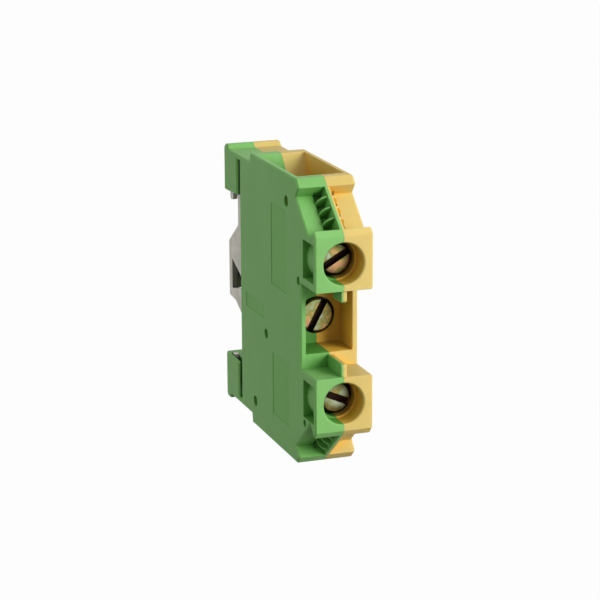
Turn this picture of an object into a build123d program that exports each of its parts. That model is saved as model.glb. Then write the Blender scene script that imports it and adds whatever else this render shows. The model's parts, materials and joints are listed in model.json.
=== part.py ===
from build123d import *
import os

# Earth terminal block for a 35 mm rail: two moulded half shells round a current bar,
# two clamping yokes with their screws, and a steel foot that a middle screw draws
# against the rail.
# The origin is on the front plane of the rail, midway between its flanges.
# +Z runs up the long side, -Y points out of the rail towards the screws, X lies along it.
# Depths are counted back from the face of the clamp bosses.

# The rail that the foot grips, mm
rail_depth = 38.8
rail_width = 35.0
rail_channel_width = 27.0
rail_sheet = 1.0

# Width along the rail and the walls on each side
pitch = 10.0
outer_wall = 0.5
chamber_wall = 0.85
edge_break = 0.25

# Fits
play = 0.1
thread_play = 0.05
seat_play = 0.05
peg_play = 0.02
head_play = 0.4
hole_play = 0.3
bar_side_play = 0.15

# Clamp bosses
boss_spacing = 23.4
boss_inner_reach = 4.5
boss_nose = 4.6
lip_depth = 0.75
lip_rise = 1.0
lip_foot_depth = 2.5
driver_bore = 7.0
driver_bore_length = 3.5
bore_break = 0.2
barrel_wall = 0.8
boss_face_wall = 0.7
boss_window_depth = 5.7
boss_window_inner_reach = 3.1
boss_window_outer_reach = 3.3
window_sink = 0.2

# Clamp screws and yokes
clamp_thread = 4.0
clamp_head = 5.6
clamp_head_height = 2.4
clamp_head_depth = 4.0
head_edge = 0.4
screw_point = 0.6
slot_width = 1.2
slot_depth = 1.3
upper_slot_angle = 30.0
lower_slot_angle = -24.0
rail_slot_angle = 62.0
yoke_sheet = 0.85
yoke_length = 7.0
yoke_head = 2.8
yoke_foot = 1.4
yoke_opening = 6.0
yoke_travel = 4.9
yoke_bar_gap = 0.7
yoke_round = 0.6
yoke_inner_break = 0.4
yoke_rib_pitch = 1.6
yoke_rib_groove = 0.5
yoke_rib_depth = 0.25
yoke_ribs = 3

# Current bar and the bridge behind it
bar_thickness = 2.0
bar_length = 32.6
bar_corner = 0.8
bar_cover = 2.0
bridge_sheet = 1.2
bridge_rib = 0.6
bridge_web_half = 3.4
bridge_heel_front = 5.9
bridge_leg_length = 5.9
bridge_heel_height = 12.2
bridge_toe_inset = 0.3
bridge_toe_gap = 0.1

# Middle recess over the rail screw
recess_wall = 0.9
recess_front_depth = 6.9
ramp_depth = 5.7
ramp_rise = 0.7
recess_low_reach = 4.8
fin_left = 0.3
fin_right = 0.6
fin_rise = 2.05
fin_front = 0.4
upper_fin_length = 3.9
fin_seat = 0.4

# Wire funnels
funnel_wall = 0.9
funnel_knee_drop = 3.4
funnel_front_slope = 4.6
funnel_rear_slope = 3.0
funnel_knee_front_reach = 1.3
funnel_knee_rear_reach = 3.8
wire_hole_half_width = 3.1
wire_hole_front_reach = 0.1
wire_hole_rear_reach = 0.4

# Shoulder with its marker seats
ledge_wall = 1.8
ledge_overhang = 1.4
ledge_drop = 1.3
shoulder_drop = 3.0
shoulder_slope = 0.876
marker_web_left = 0.45
marker_web_right = 0.3
marker_pitch = 2.15
marker_seats = 4
marker_rib = 0.3
marker_left_reach = 1.6
marker_right_reach = 1.3
marker_depth = 0.7
marker_start = 0.76
marker_rib_rise = 2.0

# Hooks that catch the rail
body_rear_gap = 0.75
hook_step_reach = 2.3
hook_step_run = 0.3
hook_step = 1.6
hook_cap = 0.9
hook_ridge_rise = 0.8
hook_ridge_length = 1.6
hook_ridge_run = 0.8
hook_back_wall = 1.3
hook_tip_play = 1.5
hook_tip_rise = 0.3
hook_slack = 4.2
hook_slot_play = 0.15
hook_corner = 1.0

# Rail screw, its washer and the steel foot
rail_thread = 4.0
rail_head = 6.0
rail_head_height = 1.7
rail_screw_reach = 6.2
washer_thickness = 0.6
washer_diameter = 6.2
foot_sheet = 0.8
foot_travel = 3.7
foot_arm_inset = 1.9
foot_upper_arm = 4.1
foot_lower_arm = 1.4
foot_upper_start = 9.6
foot_lower_start = 6.8
foot_bulge_top = 5.4
foot_bulge_low = 4.2
foot_knee_reach = 4.0
foot_knee_drop = 0.3
foot_web_inset = 1.1
foot_collar = 6.0
foot_collar_length = 2.2
foot_bend = 0.6
claw_thickness = 1.7
upper_claw_tip = 13.6
lower_claw_tip = 14.9
claw_slack = 2.3
claw_height = 1.6
claw_corner = 0.6
shoulder_round = 1.4

# The window of each cheek, as distance in front of the web's rear face and height
foot_window = [(2.1, 2.8), (6.6, 0.9), (7.6, 0.3), (7.6, -1.2), (6.6, -1.7), (2.1, -2.7)]

# What follows from these, first along the screws
half = pitch / 2
screw_height = boss_spacing / 2
head_bore = clamp_head + 2 * head_play
chamber_front = clamp_head_depth + clamp_head_height + play
yoke_front_depth = chamber_front + yoke_travel + play
bar_depth = yoke_front_depth + yoke_head + yoke_bar_gap
bar_rear = bar_depth + bar_thickness
yoke_rear_depth = bar_rear + yoke_opening + yoke_foot
recess_floor_depth = bar_depth - bar_cover
rail_head_depth = bar_depth - washer_thickness - rail_head_height
rail_screw_tip = rail_depth + rail_screw_reach
wire_hole_front = bar_rear - wire_hole_front_reach
wire_hole_rear = bar_rear + yoke_opening + wire_hole_rear_reach
funnel_knee_front = wire_hole_front - funnel_knee_front_reach
funnel_knee_rear = wire_hole_rear + funnel_knee_rear_reach
funnel_front_depth = funnel_knee_front - funnel_front_slope
funnel_rear_depth = funnel_knee_rear + funnel_rear_slope
ledge_top_depth = funnel_front_depth - ledge_wall
ledge_low_depth = ledge_top_depth - ledge_overhang
shoulder_depth = ledge_top_depth
hook_step_depth = funnel_rear_depth + hook_step_reach
body_rear_depth = rail_depth - body_rear_gap
rail_rear = rail_depth + rail_sheet
hook_slot_depth = rail_rear + hook_slot_play
bridge_heel_depth = rail_depth - bridge_heel_front
bridge_bend_depth = bridge_heel_depth - bridge_leg_length
claw_front_depth = rail_rear + play + foot_travel
claw_rear_depth = claw_front_depth + claw_thickness
hook_rear_depth = claw_rear_depth + 2 * play + hook_back_wall
hook_ridge_depth = hook_rear_depth - hook_ridge_length
hook_ridge_foot = hook_ridge_depth - hook_ridge_run
foot_arm_front = rail_depth - foot_arm_inset
foot_cavity_front = foot_arm_front - foot_travel - 2 * play
foot_upper_arm_rear = foot_arm_front + foot_upper_arm
foot_lower_arm_rear = foot_arm_front + foot_lower_arm
foot_bulge_depth = hook_rear_depth
foot_knee_depth = foot_bulge_depth - foot_knee_reach

# Then up the long side
hook_tip_height = rail_channel_width / 2 + hook_tip_play
hook_slot_height = rail_width / 2 + hook_slack
hook_top_height = hook_slot_height + hook_cap
hook_ridge_height = hook_top_height + hook_ridge_rise
top = hook_top_height + hook_step
ledge_low_height = top - ledge_drop
shoulder_height = top - shoulder_drop
funnel_knee_height = top - funnel_knee_drop
boss_inner_height = screw_height - boss_inner_reach
boss_outer_height = screw_height + boss_nose
lip_height = boss_outer_height + lip_rise
lip_foot_height = shoulder_height - shoulder_slope * (shoulder_depth - lip_foot_depth)
boss_window_low = screw_height - boss_window_inner_reach
boss_window_high = screw_height + boss_window_outer_reach
chamber_low = screw_height - yoke_length / 2 - 2 * play
chamber_high = screw_height + yoke_length / 2 + 2 * play
bridge_toe_height = rail_width / 2 - bridge_toe_inset
claw_inner = rail_width / 2 + claw_slack
claw_outer = claw_inner + claw_height

# And across the block
foot_half_width = half - outer_wall - play
foot_inside = foot_half_width - foot_sheet
yoke_half_width = half - chamber_wall - 2 * play
yoke_inside = yoke_half_width - yoke_sheet
bar_width = 2 * (yoke_inside - bar_side_play)
bridge_width = 2 * (foot_inside - bridge_rib - 2 * play)

# Pegs of the right shell and the pin marks on the sides, as depth, height and diameter
pegs = [
    (funnel_knee_front - 1.9, funnel_knee_height - 1.2, 1.9),
    (bridge_bend_depth - 2.6, -(bridge_web_half + bridge_sheet + 1.2), 1.7),
    (funnel_rear_depth + 0.3, -(funnel_knee_height - 1.1), 1.9),
]
pin_marks = [
    (recess_front_depth + 1.0, boss_inner_height + 0.3, 1.5),
    (boss_window_depth - 0.6, -(boss_outer_height - 0.3), 1.3),
]
pin_mark_depth = 0.35
peg_recess = 0.6

# Plain sunk fields on the sides, as depth and height ranges
fields = [(13.6, 21.4, 3.9, 17.9), (25.4, 35.0, -3.4, -1.0), (12.6, 21.0, -19.0, -8.2)]
field_sink = 0.08


def at(depth):
    """The Y coordinate of a depth behind the clamp faces."""
    return depth - rail_depth


def block(x0, x1, depth0, depth1, z0, z1):
    """A box between two depths."""
    centre = Pos((x0 + x1) / 2, (at(depth0) + at(depth1)) / 2, (z0 + z1) / 2)
    return centre * Box(abs(x1 - x0), abs(depth1 - depth0), abs(z1 - z0))


def plate(points, x0, x1):
    """A flat piece whose outline is given as depths and heights."""
    outline = Polyline(*[(at(depth), z) for depth, z in points], close=True)
    face = Plane.YZ.offset(x0) * make_face(outline)
    return extrude(face, amount=x1 - x0, dir=(1, 0, 0))


def rod(depth0, depth1, diameter, z=0.0, x=0.0):
    """A round bar along the screw direction."""
    middle = (at(depth0) + at(depth1)) / 2
    return Pos(x, middle, z) * Rot(90, 0, 0) * Cylinder(diameter / 2, abs(depth1 - depth0))


def pin(x0, x1, depth, z, diameter):
    """A round bar along the rail direction."""
    place = Pos((x0 + x1) / 2, at(depth), z) * Rot(0, 90, 0)
    return place * Cylinder(diameter / 2, abs(x1 - x0))


def flipped(points):
    """The same outline below the middle."""
    return [(depth, -z) for depth, z in reversed(points)]


def side_profile():
    """One half of the side view, from the middle recess round to the rear face."""
    return [
        (recess_front_depth, boss_inner_height),
        (0, boss_inner_height),
        (0, boss_outer_height),
        (lip_depth, lip_height),
        (lip_foot_depth, lip_foot_height),
        (shoulder_depth, shoulder_height),
        (ledge_low_depth, ledge_low_height),
        (ledge_top_depth, top),
        (hook_step_depth - hook_step_run, top),
        (hook_step_depth, hook_top_height),
        (hook_ridge_foot, hook_top_height),
        (hook_ridge_depth, hook_ridge_height),
        (hook_rear_depth, hook_ridge_height),
        (hook_rear_depth, hook_tip_height),
        (hook_slot_depth, hook_tip_height + hook_tip_rise),
        (hook_slot_depth, hook_slot_height),
        (body_rear_depth, hook_slot_height),
    ]


def blank():
    """The whole moulding before it is hollowed out, with its outer edges broken."""
    body = plate(side_profile() + flipped(side_profile()), -half, half)
    rear = body.edges().filter_by(Axis.X).group_by(Axis.Y)[-1]
    body = fillet(rear.sort_by(lambda edge: abs(edge.center().Z))[2:], hook_corner)
    sides = body.faces().filter_by(Axis.X)
    return chamfer([edge for side in sides for edge in side.edges()], edge_break)


def funnel(sign):
    """The wire entry: a wide mouth that narrows to the hole in front of the yoke."""
    wide = half - funnel_wall
    mouth = [(funnel_front_depth, top + 1), (funnel_rear_depth, top + 1)]
    knee = [(funnel_knee_rear, funnel_knee_height), (funnel_knee_front, funnel_knee_height)]
    outline = [mouth[0], mouth[1], (funnel_rear_depth, top), knee[0], knee[1], (funnel_front_depth, top)]
    if sign < 0:
        outline = flipped(outline)
    entry = plate(outline, -wide, wide)

    def ring(height, x_half, front, rear):
        section = Rectangle(2 * x_half, rear - front)
        place = Plane(origin=(0, (at(front) + at(rear)) / 2, height), x_dir=(1, 0, 0), z_dir=(0, 0, 1))
        return place * section

    upper_ring = ring(sign * funnel_knee_height, wide, funnel_knee_front, funnel_knee_rear)
    lower_ring = ring(sign * chamber_high, wire_hole_half_width, wire_hole_front, wire_hole_rear)
    return entry + loft([lower_ring, upper_ring]) if sign > 0 else entry + loft([upper_ring, lower_ring])


def clamp_space(sign):
    """The chamber of one yoke with the screwdriver bore in front of it."""
    low, high = sorted((sign * chamber_low, sign * chamber_high))
    side = yoke_half_width + 2 * play
    chamber = block(-side, side, chamber_front, yoke_rear_depth + 2 * play, low, high)
    guide = rod(-1, driver_bore_length, driver_bore, sign * screw_height)
    mouth = chamfer(rod(-1, bore_break, driver_bore + 2 * bore_break, sign * screw_height).edges()
                    .filter_by(GeomType.CIRCLE).sort_by(Axis.Y)[-1], bore_break - 0.001)
    return chamber + guide + mouth + rod(-1, chamber_front + play, head_bore, sign * screw_height)


def bar_space():
    """The slot that holds the current bar."""
    side = bar_width / 2 + seat_play
    end = bar_length / 2 + seat_play
    return block(-side, side, bar_depth - seat_play, bar_rear + seat_play, -end, end)


def bridge_outline(thickness, toe_extra=0.0):
    """The folded strip from the bar to both flanges of the rail."""
    rear = rail_depth - bridge_toe_gap
    inner = bar_rear + bridge_sheet
    grow = (thickness - bridge_sheet) / 2
    outer_leg = bridge_web_half + bridge_sheet
    upper = [
        (bar_rear - grow, outer_leg + grow),
        (bridge_bend_depth - grow, outer_leg + grow),
        (bridge_heel_depth - grow, bridge_heel_height + bridge_sheet / 2 + grow),
        (rear - bridge_sheet - grow, bridge_heel_height + bridge_sheet / 2 + grow),
        (rear - bridge_sheet - grow, bridge_toe_height + grow),
        (rear + toe_extra, bridge_toe_height + grow),
        (rear + toe_extra, bridge_heel_height - bridge_sheet / 2 - grow),
        (bridge_heel_depth + bridge_sheet / 2 + grow, bridge_heel_height - bridge_sheet / 2 - grow),
        (bridge_bend_depth + bridge_sheet / 2 + grow, bridge_web_half - grow),
        (inner + grow, bridge_web_half - grow),
    ]
    return upper + flipped(upper)


def bridge_space():
    """The pocket of the bridge, open to the rear."""
    side = bridge_width / 2 + play
    return plate(bridge_outline(bridge_sheet + 2 * play, rail_sheet), -side, side)


def rail_screw_space():
    """The bore of the rail screw and the seat of its head in the recess floor."""
    bore = rod(recess_floor_depth, rail_depth, rail_thread + 2 * hole_play)
    return bore + rod(recess_floor_depth - play, bar_depth, washer_diameter + 2 * play)


def foot_space():
    """The slots that the cheeks and the claws of the foot run in, with their whole travel."""
    slots = []
    for x0, x1 in foot_sides(play):
        slots.append(block(x0, x1, foot_cavity_front, rail_depth, -hook_slot_height, hook_slot_height))
        for sign in (1, -1):
            low, high = sorted((sign * (hook_tip_height - hook_tip_play), sign * hook_slot_height))
            slots.append(block(x0, x1, body_rear_depth - play, claw_rear_depth + 2 * play, low, high))
    return slots


def recess_space():
    """The middle recess: it runs up under the upper boss and ends in a solid step above the lower one."""
    side = half - recess_wall
    outline = [
        (-1, -recess_low_reach),
        (-1, boss_inner_height),
        (ramp_depth, boss_inner_height),
        (recess_floor_depth, boss_inner_height - ramp_rise),
        (recess_floor_depth, -recess_low_reach),
    ]
    return plate(outline, -side, side)


def side_window(sign, mirror):
    """The opening in the side of a boss that leaves the round barrel standing."""
    low, high = sorted((sign * boss_window_low, sign * boss_window_high))
    depth = half - driver_bore / 2 + window_sink
    outer, inner = mirror * (half + 1), mirror * (half - depth)
    cut = block(outer, inner, boss_face_wall, boss_window_depth, low, high)
    return cut - rod(0, boss_window_depth + 1, driver_bore + 2 * barrel_wall, sign * screw_height)


def shoulder_frame(sign):
    """The sloping shoulder as a plane from its foot: its x runs along X and its y up the slope."""
    rise = Vector(0, shoulder_depth - lip_foot_depth, sign * (shoulder_height - lip_foot_height))
    along = rise.normalized()
    outwards = Vector(0, -along.Z, along.Y) * sign
    foot = Vector(0, at(lip_foot_depth), sign * lip_foot_height)
    return Plane(origin=foot, x_dir=(1, 0, 0), z_dir=outwards), rise.length


def marker_heights(length):
    """How far up the slope the middle of each seat lies."""
    return [length - marker_start - index * marker_pitch for index in range(marker_seats)]


def marker_side(mirror):
    """Where the seats of one shell start, beside the web, and how far they reach."""
    if mirror > 0:
        return marker_web_right, marker_right_reach
    return -marker_web_left, marker_left_reach


def marker_pockets(sign, mirror):
    """The row of seats beside the web."""
    frame, length = shoulder_frame(sign)
    start, reach = marker_side(mirror)
    seat = Box(reach, marker_pitch - marker_rib, 2 * marker_depth)
    return [frame * Pos(start + mirror * reach / 2, sign * up, 0) * seat for up in marker_heights(length)]


def marker_ribs(sign, mirror):
    """The quarter-round ribs that stand between the seats, against the web."""
    frame, length = shoulder_frame(sign)
    start, reach = marker_side(mirror)
    disc = extrude(Plane.XZ * Ellipse(reach, marker_rib_rise), amount=marker_rib / 2, both=True)
    corner = Box(reach, marker_pitch, marker_rib_rise)
    quarter = disc & Pos(mirror * reach / 2, 0, marker_rib_rise / 2) * corner
    places = [up - marker_pitch / 2 for up in marker_heights(length)[:-1]]
    return [frame * Pos(start, sign * up, 0) * quarter for up in places]


def marker_web(sign, x0, x1):
    """One half of the thin web that stands along the parting line from the ledge to the lip of the boss."""
    outline = [
        (lip_depth, lip_height),
        (ledge_low_depth, ledge_low_height),
        (shoulder_depth, shoulder_height),
        (shoulder_depth + edge_break, shoulder_height),
        (lip_foot_depth + edge_break, lip_foot_height),
        (lip_foot_depth, lip_foot_height),
    ]
    if sign < 0:
        outline = flipped(outline)
    return plate(outline, x0, x1)


def fin(sign, x0, x1):
    """The fin on the inner face of a boss, short and free above, and running into the step below."""
    length = upper_fin_length if sign > 0 else recess_front_depth - fin_front + fin_seat
    tip = boss_inner_height - fin_rise
    low, high = sorted((sign * tip, sign * (boss_inner_height + 0.5)))
    piece = block(x0, x1, fin_front, fin_front + length, low, high)
    free = piece.edges().filter_by(Axis.X).sort_by(lambda edge: abs(edge.center().Z))[:2]
    return fillet(free, fin_rise / 4)


def hollows():
    """Everything that is cut from both shells alike."""
    spaces = [bar_space(), bridge_space(), rail_screw_space(), recess_space()] + foot_space()
    for sign in (1, -1):
        spaces += [funnel(sign), clamp_space(sign)]
        for mirror in (1, -1):
            spaces.append(side_window(sign, mirror))
            spaces += marker_pockets(sign, mirror)
    for mirror in (1, -1):
        x0, x1 = mirror * (half + 1), mirror * (half - field_sink)
        spaces += [block(x0, x1, a, b, low, high) for a, b, low, high in fields]
        x1 = mirror * (half - pin_mark_depth)
        spaces += [pin(x0, x1, depth, z, size) for depth, z, size in pin_marks]
    return spaces


def shells():
    """The left and the right half shell."""
    body = blank()
    for space in hollows():
        body -= space
    big = 4 * pitch
    left = body & block(-half - 1, 0, -big, 2 * big, -big, big)
    right = body & block(0, half + 1, -big, 2 * big, -big, big)
    for sign in (1, -1):
        left += [marker_web(sign, -marker_web_left, 0)] + marker_ribs(sign, -1)
        right += [marker_web(sign, 0, marker_web_right)] + marker_ribs(sign, 1)
        left += fin(sign, -fin_left, 0)
        right += fin(sign, 0, fin_right)
    for depth, z, size in pegs:
        left -= pin(-half - 1, 1, depth, z, size + 2 * peg_play)
        right += pin(-half + peg_recess, half / 2, depth, z, size)
    return left, right


def current_bar():
    """The flat bar that joins both clamps and takes the rail screw."""
    end = bar_length / 2
    bar = block(-bar_width / 2, bar_width / 2, bar_depth, bar_rear, -end, end)
    corners = bar.edges().filter_by(Axis.Y)
    bar = fillet(corners, bar_corner)
    return bar - rod(bar_depth - 1, bar_rear + 1, rail_thread + hole_play)


def contact_bridge():
    """The folded strip that takes the current bar to the front of both rail flanges."""
    strip = plate(bridge_outline(bridge_sheet), -bridge_width / 2, bridge_width / 2)
    return strip - rod(bar_rear - 1, bar_rear + bridge_sheet + 1, rail_thread + hole_play)


def clamp_yoke(sign):
    """A closed yoke round the bar, with its threaded head in front."""
    low = sign * screw_height - yoke_length / 2
    high = low + yoke_length
    outer = block(-yoke_half_width, yoke_half_width, yoke_front_depth, yoke_rear_depth, low, high)
    outer = fillet(outer.edges().filter_by(Axis.Z), yoke_round)
    pinch_depth = yoke_rear_depth - yoke_foot
    gap = block(-yoke_inside, yoke_inside, yoke_front_depth + yoke_head, pinch_depth, low - 1, high + 1)
    yoke = outer - chamfer(gap.edges().filter_by(Axis.Z), yoke_inner_break)
    yoke -= rod(
        yoke_front_depth - 1, yoke_front_depth + yoke_head + 1,
        clamp_thread + 2 * thread_play, sign * screw_height,
    )
    for index in range(yoke_ribs):
        z = sign * screw_height + yoke_rib_pitch * (index - (yoke_ribs - 1) / 2)
        yoke -= block(
            -yoke_inside, yoke_inside, pinch_depth - 1, pinch_depth + yoke_rib_depth,
            z - yoke_rib_groove / 2, z + yoke_rib_groove / 2,
        )
    return yoke


def slotted_screw(head_depth, head_size, head_height, thread, tip_depth, angle, z=0.0):
    """A cheese-head screw with a straight slot, a broken rim and a pointed end."""
    head = rod(head_depth, head_depth + head_height, head_size)
    rim = head.edges().filter_by(GeomType.CIRCLE).sort_by(Axis.Y)[0]
    head = chamfer(rim, head_edge)
    cut = Box(head_size + 2, 2 * slot_depth, slot_width)
    head -= Pos(0, at(head_depth), 0) * Rot(0, -angle, 0) * cut
    shank = rod(head_depth + head_height - slot_depth / 2, tip_depth, thread)
    tip = shank.edges().filter_by(GeomType.CIRCLE).sort_by(Axis.Y)[-1]
    shank = chamfer(tip, screw_point)
    return Pos(0, 0, z) * (head + shank)


def foot_sides(gap=0.0):
    """The widths that the two cheeks of the foot take up."""
    return ((-foot_half_width - gap, -foot_inside + gap), (foot_inside - gap, foot_half_width + gap))


def claw_outline(arm_rear, start, tip):
    """One arm of a cheek: out along the body, and back down behind the flange of the rail."""
    return [
        (foot_arm_front, claw_outer),
        (claw_rear_depth, claw_outer),
        (claw_rear_depth, tip),
        (claw_front_depth, tip),
        (claw_front_depth, claw_inner),
        (arm_rear, claw_inner),
        (arm_rear, start),
    ]


def cheek_profile():
    """The flat outline of a cheek with its rounded corners."""
    upper = claw_outline(foot_upper_arm_rear, foot_upper_start, upper_claw_tip)
    lower = claw_outline(foot_lower_arm_rear, foot_lower_start, lower_claw_tip)
    bulge = [
        (foot_bulge_depth, foot_bulge_top),
        (foot_bulge_depth, -foot_bulge_low),
        (foot_knee_depth, -foot_bulge_low - foot_knee_drop),
    ]
    points = upper + bulge + flipped(lower)
    face = make_face(Polyline(*[(at(depth), z) for depth, z in points], close=True))
    narrow = [v for v in face.vertices() if abs(v.Y) > (foot_upper_start + upper_claw_tip) / 2]
    face = fillet(narrow, claw_corner)
    wide = [v for v in face.vertices() if abs(v.Y) < foot_upper_start + play]
    return fillet(wide, shoulder_round)


def rail_foot():
    """The folded steel foot: a web with the threaded collar, two cheeks and four claws."""
    profile = cheek_profile()
    foot = block(
        -foot_half_width, foot_half_width, foot_bulge_depth - foot_sheet, foot_bulge_depth,
        foot_web_inset - foot_bulge_low, foot_bulge_top - foot_web_inset,
    )
    for x0, x1 in foot_sides():
        foot += extrude(Plane.YZ.offset(x0) * profile, amount=x1 - x0, dir=(1, 0, 0))
    sheet = block(
        -foot_half_width, foot_half_width, foot_arm_front - 1, foot_bulge_depth,
        -claw_outer - 1, claw_outer + 1,
    )
    foot &= fillet(sheet.edges().filter_by(Axis.Z).group_by(Axis.Y)[-1], foot_bend)
    foot -= plate([(foot_bulge_depth - ahead, z) for ahead, z in foot_window], -half, half)
    web_front = foot_bulge_depth - foot_sheet
    foot += rod(web_front - foot_collar_length, web_front + foot_sheet / 2, foot_collar)
    return foot - rod(web_front - foot_collar_length - 1, foot_bulge_depth + 1, rail_thread + 2 * thread_play)


def washer():
    """The spring washer under the head of the rail screw."""
    ring = rod(bar_depth - washer_thickness, bar_depth, washer_diameter)
    return ring - rod(bar_depth - 1, bar_depth + 1, rail_thread + hole_play)


def build():
    left, right = shells()
    tip = bar_depth - seat_play
    clamp = dict(
        head_depth=clamp_head_depth, head_size=clamp_head, head_height=clamp_head_height,
        thread=clamp_thread, tip_depth=tip,
    )
    return {
        "green_shell": left,
        "yellow_shell": right,
        "current_bar": current_bar(),
        "contact_bridge": contact_bridge(),
        "upper_clamp_yoke": clamp_yoke(1),
        "lower_clamp_yoke": clamp_yoke(-1),
        "upper_clamp_screw": slotted_screw(angle=upper_slot_angle, z=screw_height, **clamp),
        "lower_clamp_screw": slotted_screw(angle=lower_slot_angle, z=-screw_height, **clamp),
        "rail_screw": slotted_screw(
            rail_head_depth, rail_head, rail_head_height, rail_thread, rail_screw_tip, rail_slot_angle
        ),
        "rail_screw_washer": washer(),
        "rail_foot": rail_foot(),
    }


os.makedirs("parts", exist_ok=True)
for name, shape in build().items():
    export_step(shape, f"parts/{name}.step")
    print(name, round(shape.volume, 1))
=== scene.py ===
import json
import math

import bmesh
import bpy
import numpy as np
from mathutils import Matrix, Vector

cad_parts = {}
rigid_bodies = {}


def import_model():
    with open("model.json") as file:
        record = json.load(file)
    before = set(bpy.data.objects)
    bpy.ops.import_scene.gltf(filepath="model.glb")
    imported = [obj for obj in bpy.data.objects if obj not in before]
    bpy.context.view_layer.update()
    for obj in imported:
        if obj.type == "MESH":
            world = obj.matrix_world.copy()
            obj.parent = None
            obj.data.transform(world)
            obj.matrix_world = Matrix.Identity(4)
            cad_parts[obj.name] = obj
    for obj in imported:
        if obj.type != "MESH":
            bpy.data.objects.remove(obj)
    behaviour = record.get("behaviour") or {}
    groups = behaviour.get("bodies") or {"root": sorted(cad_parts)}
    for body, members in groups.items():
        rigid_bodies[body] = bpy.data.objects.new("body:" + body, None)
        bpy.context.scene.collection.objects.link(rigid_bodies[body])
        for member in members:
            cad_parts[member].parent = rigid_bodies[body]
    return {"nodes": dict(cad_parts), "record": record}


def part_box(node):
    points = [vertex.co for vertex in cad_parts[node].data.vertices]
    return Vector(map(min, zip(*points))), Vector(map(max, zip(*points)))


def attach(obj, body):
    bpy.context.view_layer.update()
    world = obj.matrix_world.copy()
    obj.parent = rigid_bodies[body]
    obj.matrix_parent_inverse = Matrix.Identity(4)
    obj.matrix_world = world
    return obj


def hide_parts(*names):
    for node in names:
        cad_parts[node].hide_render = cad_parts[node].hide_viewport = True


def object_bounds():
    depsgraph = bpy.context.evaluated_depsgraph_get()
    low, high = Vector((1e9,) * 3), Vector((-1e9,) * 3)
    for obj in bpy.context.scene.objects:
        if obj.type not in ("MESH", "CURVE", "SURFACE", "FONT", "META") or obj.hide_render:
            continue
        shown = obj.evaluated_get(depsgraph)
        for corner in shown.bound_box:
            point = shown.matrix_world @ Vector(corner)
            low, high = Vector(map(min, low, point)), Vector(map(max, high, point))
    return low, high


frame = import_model()
cadBox = [list(corner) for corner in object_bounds()]
print("frame loaded:", len(frame["nodes"]), "nodes")

mm = 0.001
railDepth = 38.8 * mm          # from the clamp faces back to the rail plane, where Y is zero

for leftover in list(bpy.data.objects):
    if leftover.type in ("LIGHT", "CAMERA"):
        bpy.data.objects.remove(leftover)

# Camera

photoView = {
    "azimuth": 19.7,                   # degrees round from the front, towards the green side
    "elevation": 15.0,
    "roll": -0.25,
    "imageSize": 600,                  # pixels
    "focalLength": 2200,               # pixels
    "centreShift": 1,                  # pixels that the optical axis lies right of the middle
    "frontPoint": (6.967, -5.608, 354.54),   # clamp face middle seen from the lens: right, up, away, mm
    "sensor": 36.0,                    # mm
    "clip": (0.01, 20),                # metres
}


def makeCamera(view):
    # The lens looks along a direction given by azimuth and elevation, turned by the roll about itself,
    # and stands so that the middle of the clamp faces lies at frontPoint in its own axes.
    azimuth, elevation, roll = (math.radians(view[key]) for key in ("azimuth", "elevation", "roll"))
    away = Vector((math.sin(azimuth) * math.cos(elevation), math.cos(azimuth) * math.cos(elevation),
                   -math.sin(elevation)))
    level = Vector((math.cos(azimuth), -math.sin(azimuth), 0))
    upright = level.cross(away)
    right = math.cos(roll) * level + math.sin(roll) * upright
    up = math.cos(roll) * upright - math.sin(roll) * level
    acrossBy, upBy, awayBy = (value * mm for value in view["frontPoint"])
    place = Vector((0, -railDepth, 0)) - right * acrossBy - up * upBy - away * awayBy

    lens = bpy.data.cameras.new("productLens")
    lens.sensor_width = view["sensor"]
    lens.lens = view["sensor"] * view["focalLength"] / view["imageSize"]
    lens.shift_x = -view["centreShift"] / view["imageSize"]
    lens.clip_start, lens.clip_end = view["clip"]
    camera = bpy.data.objects.new("productCamera", lens)
    turn = Matrix((right, up, -away)).transposed().to_4x4()
    camera.matrix_world = Matrix.Translation(place) @ turn
    bpy.context.scene.collection.objects.link(camera)
    bpy.context.scene.camera = camera


makeCamera(photoView)
print("camera placed")

# Stage and light

studio = {
    "floorDrop": 0.016,                # the floor lies this far below the block
    "floorSize": 3.0,
    "floorColour": (0.13, 0.13, 0.125, 1),
    "floorGlow": 0.98,                 # share of plain white that the lens sees on the floor
    "skyStrength": 0.41,               # what the sky gives to matte surfaces
    "lamps": {
        "keySoftbox": {"place": (0.350, -0.495, 0.195), "size": 0.36, "watts": 4.80},
        "sideSoftbox": {"place": (-0.50, -0.20, 0.14), "size": 0.50, "watts": 0.80},
        "backSoftbox": {"place": (0.20, 0.62, -0.04), "size": 0.30, "watts": 1.00},
    },
}


def seenDirectly(nodes, links):
    # 1 for rays that come straight from the lens or by way of gloss and glass, otherwise 0.
    path = nodes.new("ShaderNodeLightPath")
    lensOrGloss = nodes.new("ShaderNodeMath")
    lensOrGloss.operation = "MAXIMUM"
    links.new(path.outputs["Is Camera Ray"], lensOrGloss.inputs[0])
    links.new(path.outputs["Is Glossy Ray"], lensOrGloss.inputs[1])
    allThree = nodes.new("ShaderNodeMath")
    allThree.operation = "MAXIMUM"
    links.new(lensOrGloss.outputs[0], allThree.inputs[0])
    links.new(path.outputs["Is Transmission Ray"], allThree.inputs[1])
    return allThree.outputs[0]


def makeSky(settings):
    world = bpy.data.worlds.new("whiteStudio")
    bpy.context.scene.world = world
    world.use_nodes = True
    nodes, links = world.node_tree.nodes, world.node_tree.links
    nodes.clear()
    strength = nodes.new("ShaderNodeMapRange")
    strength.inputs["To Min"].default_value = settings["skyStrength"]
    strength.inputs["To Max"].default_value = 1.0
    links.new(seenDirectly(nodes, links), strength.inputs["Value"])
    glow = nodes.new("ShaderNodeBackground")
    glow.inputs["Color"].default_value = (1, 1, 1, 1)
    links.new(strength.outputs["Result"], glow.inputs["Strength"])
    output = nodes.new("ShaderNodeOutputWorld")
    links.new(glow.outputs[0], output.inputs["Surface"])


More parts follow.
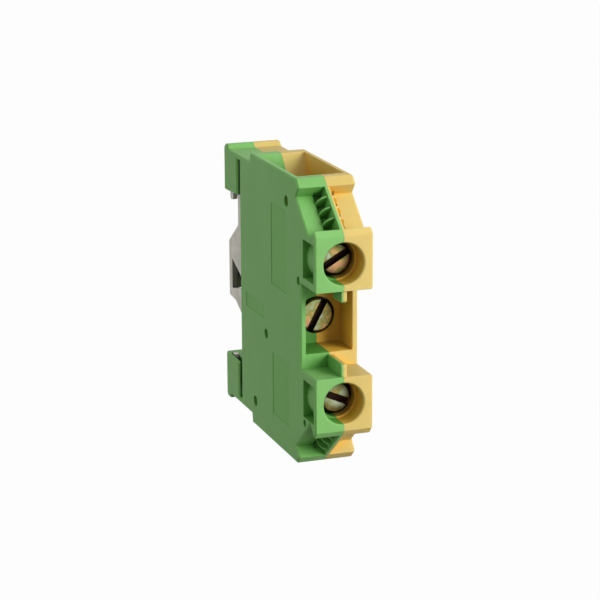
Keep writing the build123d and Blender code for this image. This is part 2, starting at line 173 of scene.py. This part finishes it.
def makeFloor(settings):
    half = settings["floorSize"] / 2
    height = cadBox[0][2] - settings["floorDrop"]
    corners = [(-half, -half, height), (half, -half, height), (half, half, height), (-half, half, height)]
    mesh = bpy.data.meshes.new("floor")
    mesh.from_pydata(corners, [], [(0, 1, 2, 3)])
    floor = bpy.data.objects.new("floor", mesh)
    bpy.context.scene.collection.objects.link(floor)

    paint = bpy.data.materials.new("paleFloor")
    paint.use_nodes = True
    nodes, links = paint.node_tree.nodes, paint.node_tree.links
    nodes.clear()
    matte = nodes.new("ShaderNodeBsdfDiffuse")
    matte.inputs["Color"].default_value = settings["floorColour"]
    white = nodes.new("ShaderNodeEmission")
    white.inputs["Color"].default_value = (1, 1, 1, 1)
    share = nodes.new("ShaderNodeMath")
    share.operation = "MULTIPLY"
    share.inputs[1].default_value = settings["floorGlow"]
    links.new(seenDirectly(nodes, links), share.inputs[0])
    above = nodes.new("ShaderNodeMixShader")
    links.new(share.outputs[0], above.inputs[0])
    links.new(matte.outputs[0], above.inputs[1])
    links.new(white.outputs[0], above.inputs[2])
    underside = nodes.new("ShaderNodeNewGeometry")     # seen from below, the floor is clear
    clear = nodes.new("ShaderNodeBsdfTransparent")
    floorSides = nodes.new("ShaderNodeMixShader")
    links.new(underside.outputs["Backfacing"], floorSides.inputs[0])
    links.new(above.outputs[0], floorSides.inputs[1])
    links.new(clear.outputs[0], floorSides.inputs[2])
    output = nodes.new("ShaderNodeOutputMaterial")
    links.new(floorSides.outputs[0], output.inputs["Surface"])
    mesh.materials.append(paint)


def makeLamps(settings):
    target = Vector((0, -railDepth / 2, 0))
    for name, lamp in settings["lamps"].items():
        light = bpy.data.lights.new(name, "AREA")
        light.size = lamp["size"]
        light.energy = lamp["watts"]
        holder = bpy.data.objects.new(name, light)
        holder.location = lamp["place"]
        holder.rotation_euler = (target - holder.location).to_track_quat("-Z", "Y").to_euler()
        bpy.context.scene.collection.objects.link(holder)


makeSky(studio)
makeFloor(studio)
makeLamps(studio)
bpy.context.scene.view_settings.view_transform = "Standard"
print("stage and lamps ready")

# Materials

greenPlastic = {
    "colour": (0.196, 0.446, 0.128, 1),
    "shade": (0.178, 0.421, 0.116, 1),
    "field": (0.160, 0.412, 0.094, 1),      # polished sunk fields on the sides
    "deep": (0.070, 0.270, 0.030, 1),       # painted bounce light and shade: a richer, darker tone painted where little sky reaches, standing in for light that arrives only after a bounce
    "deepSky": (0.28, 0.90),                # sky shares with all of the painted bounce shade and with none
    "shut": (0.050, 0.185, 0.024, 1),       # painted shade far inside the pockets
    "crevice": (0.036, 0.120, 0.018, 1),    # painted shade in narrow gaps and corners
    "glowThrough": (0.15, 0.45, 0.10),      # how far each colour of light runs inside the wall, mm
    "roughness": (0.575, 0.625),
    "cloud": 90,                            # slow change of tone, per metre
    "roughCloud": 540,                      # change of roughness, per metre
    "grain": 5200,                          # spark-eroded texture of the mould, per metre
    "grainHeight": 0.008 * mm,
    "edgeRadius": 0.10 * mm,
}
yellowPlastic = {
    "colour": (0.620, 0.474, 0.148, 1),
    "shade": (0.585, 0.440, 0.132, 1),
    "field": (0.570, 0.428, 0.122, 1),
    # painted bounce shade, painted pocket shade and painted crevice shade in the next four entries, as on
    # the green
    "deep": (0.760, 0.415, 0.036, 1),
    "deepSky": (0.30, 0.62),
    "shut": (0.440, 0.225, 0.040, 1),
    "crevice": (0.600, 0.400, 0.090, 1),
    "glowThrough": (1.60, 0.75, 0.12),
    "roughness": (0.575, 0.625),
    "cloud": 90,
    "roughCloud": 540,
    "grain": 5200,
    "grainHeight": 0.008 * mm,
    "edgeRadius": 0.10 * mm,
}
yellowZinc = {
    # Places along the noise's values, each with its colour
    "tones": [(0.36, (0.50, 0.27, 0.14, 1)), (0.43, (0.45, 0.33, 0.11, 1)), (0.50, (0.25, 0.225, 0.055, 1)),
              (0.57, (0.26, 0.29, 0.12, 1)), (0.66, (0.36, 0.42, 0.28, 1))],
    # painted shade in the slots and narrow gaps
    "crevice": (0.024, 0.013, 0.010, 1),
    "patches": 520,                    # change of tone, per metre
    "roughPatches": 1560,
    "roughness": (0.28, 0.44),
    "grain": 3000,
    "grainHeight": 0.010 * mm,
    "turning": 0.16 * mm,              # pitch of the rings left by the lathe
    "turningHeight": 0.002 * mm,
    "turningWobble": 0.6,
    "edgeRadius": 0.06 * mm,
}
whiteZinc = {
    "tones": [(0.30, (0.30, 0.285, 0.24, 1)), (0.52, (0.37, 0.355, 0.30, 1)), (0.72, (0.45, 0.44, 0.39, 1))],
    # painted shade in narrow gaps and corners
    "crevice": (0.260, 0.275, 0.280, 1),
    "patches": 260,
    "roughPatches": 780,
    "roughness": (0.36, 0.52),
    "grain": 2600,
    "grainHeight": 0.012 * mm,
    "edgeRadius": 0.08 * mm,
}
tinnedCopper = {
    "tones": [(0.30, (0.46, 0.43, 0.37, 1)), (0.70, (0.60, 0.58, 0.53, 1))],
    # painted shade in narrow gaps and corners
    "crevice": (0.050, 0.040, 0.030, 1),
    "patches": 300,
    "roughPatches": 900,
    "roughness": (0.22, 0.36),
    "grain": 2000,
    "grainHeight": 0.006 * mm,
    "edgeRadius": 0.08 * mm,
}
# how far the sky share looks, for the painted bounce, pocket and crevice shade
skyReach = {"pocket": 14.0 * mm, "plasticCrevice": 1.6 * mm, "metalCrevice": 2.6 * mm}
skyLimits = {                          # sky shares with all of the painted shade and with none of it
    "shut": (0.08, 0.26),
    "plasticCrevice": (0.02, 0.45),
    "metalCrevice": (0.62, 0.94),
}
noiseDetail = {"plasticTone": 4, "metalTone": 6, "roughness": 5, "grain": 3}
noiseSpan = (0.3, 0.7)                 # the noise's values that are spread over a whole range
raysPerPoint = {"sky": 8, "edge": 6}
plasticGloss = 0.30                    # satin mould finish
plasticGlow = 0.35                     # share of the light that enters the wall
fieldPlane = {"out": 4.92 * mm, "within": 0.03 * mm}   # how far from the middle the sunk fields lie


def startMaterial(name):
    material = bpy.data.materials.new(name)
    material.use_nodes = True
    nodes, links = material.node_tree.nodes, material.node_tree.links
    nodes.clear()
    output = nodes.new("ShaderNodeOutputMaterial")
    surface = nodes.new("ShaderNodeBsdfPrincipled")
    links.new(surface.outputs[0], output.inputs["Surface"])
    place = nodes.new("ShaderNodeTexCoord")
    return material, nodes, links, surface, place.outputs["Object"]


def noise(nodes, links, place, scale, detail):
    cloud = nodes.new("ShaderNodeTexNoise")
    cloud.inputs["Scale"].default_value = scale
    cloud.inputs["Detail"].default_value = detail
    links.new(place, cloud.inputs["Vector"])
    return cloud.outputs["Fac"]


def spread(nodes, links, value, low, high):
    span = nodes.new("ShaderNodeMapRange")
    span.inputs["From Min"].default_value, span.inputs["From Max"].default_value = noiseSpan
    span.inputs["To Min"].default_value = low
    span.inputs["To Max"].default_value = high
    links.new(value, span.inputs["Value"])
    return span.outputs["Result"]


def mixed(nodes, links, share, base, other):
    # The colour other laid over base by the share; each may be a plain colour or another node's output.
    blend = nodes.new("ShaderNodeMix")
    blend.data_type = "RGBA"
    for socket, colour in (("A", base), ("B", other)):
        if isinstance(colour, tuple):
            blend.inputs[socket].default_value = colour
        else:
            links.new(colour, blend.inputs[socket])
    links.new(share, blend.inputs["Factor"])
    return blend.outputs["Result"]


def skyShare(nodes, links, reach):
    # How much of the half space over a point is clear of other surfaces within the reach.
    clear = nodes.new("ShaderNodeAmbientOcclusion")
    clear.samples = raysPerPoint["sky"]
    clear.inputs["Distance"].default_value = reach
    return clear.outputs["AO"]


def paintedShadeShare(nodes, links, sky, full, none):
    # The share of painted shade: 1 where the sky share is at or below full, falling to 0 where it reaches
    # none.
    share = nodes.new("ShaderNodeMapRange")
    share.inputs["From Min"].default_value = full
    share.inputs["From Max"].default_value = none
    share.inputs["To Min"].default_value = 1
    share.inputs["To Max"].default_value = 0
    links.new(sky, share.inputs["Value"])
    return share.outputs["Result"]


def fieldShare(nodes, links, place):
    # 1 on the floors of the sunk fields, which lie at one distance from the middle on both sides.
    split = nodes.new("ShaderNodeSeparateXYZ")
    links.new(place, split.inputs[0])
    out = nodes.new("ShaderNodeMath")
    out.operation = "ABSOLUTE"
    links.new(split.outputs["X"], out.inputs[0])
    near = nodes.new("ShaderNodeMath")
    near.operation = "COMPARE"
    near.inputs[1].default_value = fieldPlane["out"]
    near.inputs[2].default_value = fieldPlane["within"]
    links.new(out.outputs[0], near.inputs[0])
    return near.outputs[0]


def turnedRings(nodes, links, place, axis, finish):
    # Rings about a line along Y through the point axis, one for each pitch of the turning. The wave
    # node draws one for each pi / 10 of the distance times its scale.
    centred = nodes.new("ShaderNodeMapping")
    centred.inputs["Location"].default_value = (-axis[0], 0, -axis[1])
    links.new(place, centred.inputs["Vector"])
    rings = nodes.new("ShaderNodeTexWave")
    rings.wave_type = "RINGS"
    rings.rings_direction = "Y"
    rings.inputs["Scale"].default_value = math.pi / (10 * finish["turning"])
    rings.inputs["Distortion"].default_value = finish["turningWobble"]
    links.new(centred.outputs["Vector"], rings.inputs["Vector"])
    return rings.outputs["Fac"]


def bumped(nodes, links, height, distance, normal):
    relief = nodes.new("ShaderNodeBump")
    relief.inputs["Strength"].default_value = 1.0
    relief.inputs["Distance"].default_value = distance
    links.new(height, relief.inputs["Height"])
    links.new(normal, relief.inputs["Normal"])
    return relief.outputs["Normal"]


def softEdges(nodes, links, surface, place, finish, axis=None):
    # The fine grain as bump, on normals that are rounded over each edge, with turned rings where
    # the piece has an axis.
    edge = nodes.new("ShaderNodeBevel")
    edge.samples = raysPerPoint["edge"]
    edge.inputs["Radius"].default_value = finish["edgeRadius"]
    grain = noise(nodes, links, place, finish["grain"], noiseDetail["grain"])
    normal = bumped(nodes, links, grain, finish["grainHeight"], edge.outputs["Normal"])
    if axis:
        rings = turnedRings(nodes, links, place, axis, finish)
        normal = bumped(nodes, links, rings, finish["turningHeight"], normal)
    links.new(normal, surface.inputs["Normal"])


def mouldedPlastic(name, finish):
    material, nodes, links, surface, place = startMaterial(name)
    toneNoise = noise(nodes, links, place, finish["cloud"], noiseDetail["plasticTone"])
    cloud = spread(nodes, links, toneNoise, 0, 1)
    tone = mixed(nodes, links, cloud, finish["shade"], finish["colour"])
    tone = mixed(nodes, links, fieldShare(nodes, links, place), tone, finish["field"])
    pocketSky = skyShare(nodes, links, skyReach["pocket"])
    creviceSky = skyShare(nodes, links, skyReach["plasticCrevice"])
    # Painted bounce shade, painted pocket shade and painted crevice shade, laid over the tone where little
    # sky reaches
    for sky, limits, paintedShade in ((pocketSky, finish["deepSky"], finish["deep"]),
                                (pocketSky, skyLimits["shut"], finish["shut"]),
                                (creviceSky, skyLimits["plasticCrevice"], finish["crevice"])):
        tone = mixed(nodes, links, paintedShadeShare(nodes, links, sky, *limits), tone, paintedShade)
    links.new(tone, surface.inputs["Base Color"])
    surface.inputs["Specular IOR Level"].default_value = plasticGloss
    surface.inputs["Subsurface Weight"].default_value = plasticGlow
    surface.inputs["Subsurface Radius"].default_value = finish["glowThrough"]
    surface.inputs["Subsurface Scale"].default_value = mm
    roughNoise = noise(nodes, links, place, finish["roughCloud"], noiseDetail["roughness"])
    links.new(spread(nodes, links, roughNoise, *finish["roughness"]), surface.inputs["Roughness"])
    softEdges(nodes, links, surface, place, finish)
    return material


def platedMetal(name, finish, axis=None, shift=0.0):
    # The shift moves the whole piece along the row of tones, as plating differs from piece to piece.
    material, nodes, links, surface, place = startMaterial(name)
    surface.inputs["Metallic"].default_value = 1.0
    ramp = nodes.new("ShaderNodeValToRGB")
    stops = ramp.color_ramp.elements
    for stop, (position, colour) in zip([stops[0], stops[1]], finish["tones"]):
        stop.position = position
        stop.color = colour
    for position, colour in finish["tones"][2:]:
        stops.new(position).color = colour
    shifted = nodes.new("ShaderNodeMath")
    shifted.inputs[1].default_value = shift
    toneNoise = noise(nodes, links, place, finish["patches"], noiseDetail["metalTone"])
    links.new(toneNoise, shifted.inputs[0])
    links.new(shifted.outputs[0], ramp.inputs["Fac"])
    # Painted shade in slots and narrow gaps, laid over the tone where little sky reaches
    creviceSky = skyShare(nodes, links, skyReach["metalCrevice"])
    narrow = paintedShadeShare(nodes, links, creviceSky, *skyLimits["metalCrevice"])
    tone = mixed(nodes, links, narrow, ramp.outputs["Color"], finish["crevice"])
    links.new(tone, surface.inputs["Base Color"])
    roughNoise = noise(nodes, links, place, finish["roughPatches"], noiseDetail["roughness"])
    links.new(spread(nodes, links, roughNoise, *finish["roughness"]), surface.inputs["Roughness"])
    softEdges(nodes, links, surface, place, finish, axis)
    return material


finishes = {
    "green_plastic": mouldedPlastic("greenPlastic", greenPlastic),
    "yellow_plastic": mouldedPlastic("yellowPlastic", yellowPlastic),
    "yellow_zinc_steel": platedMetal("yellowZinc", yellowZinc),
    "plated_steel": platedMetal("whiteZinc", whiteZinc),
    "tinned_copper": platedMetal("tinnedCopper", tinnedCopper),
}
slotOf = {part["node"]: part["material_slot"] for part in frame["record"]["subparts"]}
for name, node in frame["nodes"].items():
    node.data.materials.clear()
    node.data.materials.append(finishes[slotOf[name]])
print("finishes given to", len(frame["nodes"]), "nodes")

bodyOf = {node: body for body, nodes in frame["record"]["behaviour"]["bodies"].items() for node in nodes}

# Rounded faces of the moulded and folded pieces, shaded as one surface

smoothAngle = math.radians(32)         # edges sharper than this stay crisp
weldGap = 0.0005 * mm                  # corners of the CAD mesh nearer than this are one


def crispOver(work, angle):
    # Shades every face smooth and leaves only the edges between flat faces sharp.
    for face in work.faces:
        face.smooth = True
    for edge in work.edges:
        edge.smooth = edge.is_manifold and edge.calc_face_angle() < angle


def weldedCopy(name):
    work = bmesh.new()
    work.from_mesh(frame["nodes"][name].data)
    bmesh.ops.remove_doubles(work, verts=work.verts, dist=weldGap)
    return work


def showInstead(name, ending, work, finish):
    # Puts the worked surface in the place of the CAD node of that name.
    crispOver(work, smoothAngle)
    mesh = bpy.data.meshes.new(name + ending)
    work.to_mesh(mesh)
    work.free()
    mesh.materials.append(finish)
    piece = bpy.data.objects.new(name + ending, mesh)
    bpy.context.scene.collection.objects.link(piece)
    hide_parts(name)
    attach(piece, bodyOf[name])


# Screws with their rolled threads

threads = {    # where each head ends behind the clamp faces, and its shift along the row of tones
    "upper_clamp_screw": {"headRear": 6.4 * mm, "toneShift": -0.05},
    "lower_clamp_screw": {"headRear": 6.4 * mm, "toneShift": 0.06},
    "rail_screw": {"headRear": 14.4 * mm, "toneShift": -0.03},
}
threadForm = {
    "radius": 2.0 * mm,                # over the crests
    "pitch": 0.7 * mm,
    "depth": 0.38 * mm,
    "power": 0.8,                      # below 1 the groove is wide and the crest narrow
    "runOut": 0.3,                     # turns of plain shank behind the head
    "tip": 0.6 * mm,                   # length of the taper at the end
    "around": 40,                      # points round the screw
    "perTurn": 10,                     # rows of points in each turn
    "headMargin": 0.01 * mm,           # corners further behind the head than this are the CAD shank's
}


def threadSurface(front, rear, form):
    # Radius as a function of turn angle and depth: the crest radius less a groove whose section is a
    # rounded V, (1 + cos) / 2 of the phase depth / pitch - angle / full turn, to a power.
    # Behind the plain shank the groove comes to its full depth over one turn, and the whole tapers
    # over the tip.
    rows = int((rear - front) / form["pitch"] * form["perTurn"])
    depth = np.linspace(front, rear, rows)
    angle = np.linspace(0, 2 * np.pi, form["around"], endpoint=False)
    depthGrid, angleGrid = np.meshgrid(depth, angle, indexing="ij")
    phase = depthGrid / form["pitch"] - angleGrid / (2 * np.pi)
    groove = ((1 + np.cos(2 * np.pi * phase)) / 2) ** form["power"]
    runOut = np.clip((depthGrid - front) / form["pitch"] - form["runOut"], 0, 1)
    crest = form["radius"] - np.clip(depthGrid - (rear - form["tip"]), 0, None)
    reach = crest - form["depth"] * groove * runOut
    points = np.stack([reach * np.cos(angleGrid), depthGrid, reach * np.sin(angleGrid)], axis=-1)
    return points.reshape(-1, 3), rows


def threadedScrew(name, settings, form):
    # The head is the CAD head; the shank behind it is replaced by the grooved surface, closed at the tip.
    low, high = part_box(name)
    centreX, centreZ = (low[0] + high[0]) / 2, (low[2] + high[2]) / 2
    headRear = settings["headRear"] - railDepth
    work = weldedCopy(name)
    shank = [vert for vert in work.verts if vert.co.y > headRear + form["headMargin"]]
    bmesh.ops.delete(work, geom=shank, context="VERTS")
    points, rows = threadSurface(headRear, high[1], form)
    around = form["around"]
    verts = [work.verts.new((x + centreX, y, z + centreZ)) for x, y, z in points]
    work.verts.index_update()
    for row in range(rows - 1):
        for step in range(around):
            here, beside = row * around + step, row * around + (step + 1) % around
            work.faces.new((verts[here], verts[here + around], verts[beside + around], verts[beside]))
    work.faces.new(verts[-around:])
    finish = platedMetal(name + "Zinc", yellowZinc, (centreX, centreZ), settings["toneShift"])
    showInstead(name, "_threaded", work, finish)


for name, settings in threads.items():
    threadedScrew(name, settings, threadForm)
print("screws threaded")
for name in frame["nodes"]:
    if name not in threads:
        showInstead(name, "_finished", weldedCopy(name), finishes[slotOf[name]])
print("moulded and folded pieces finished")
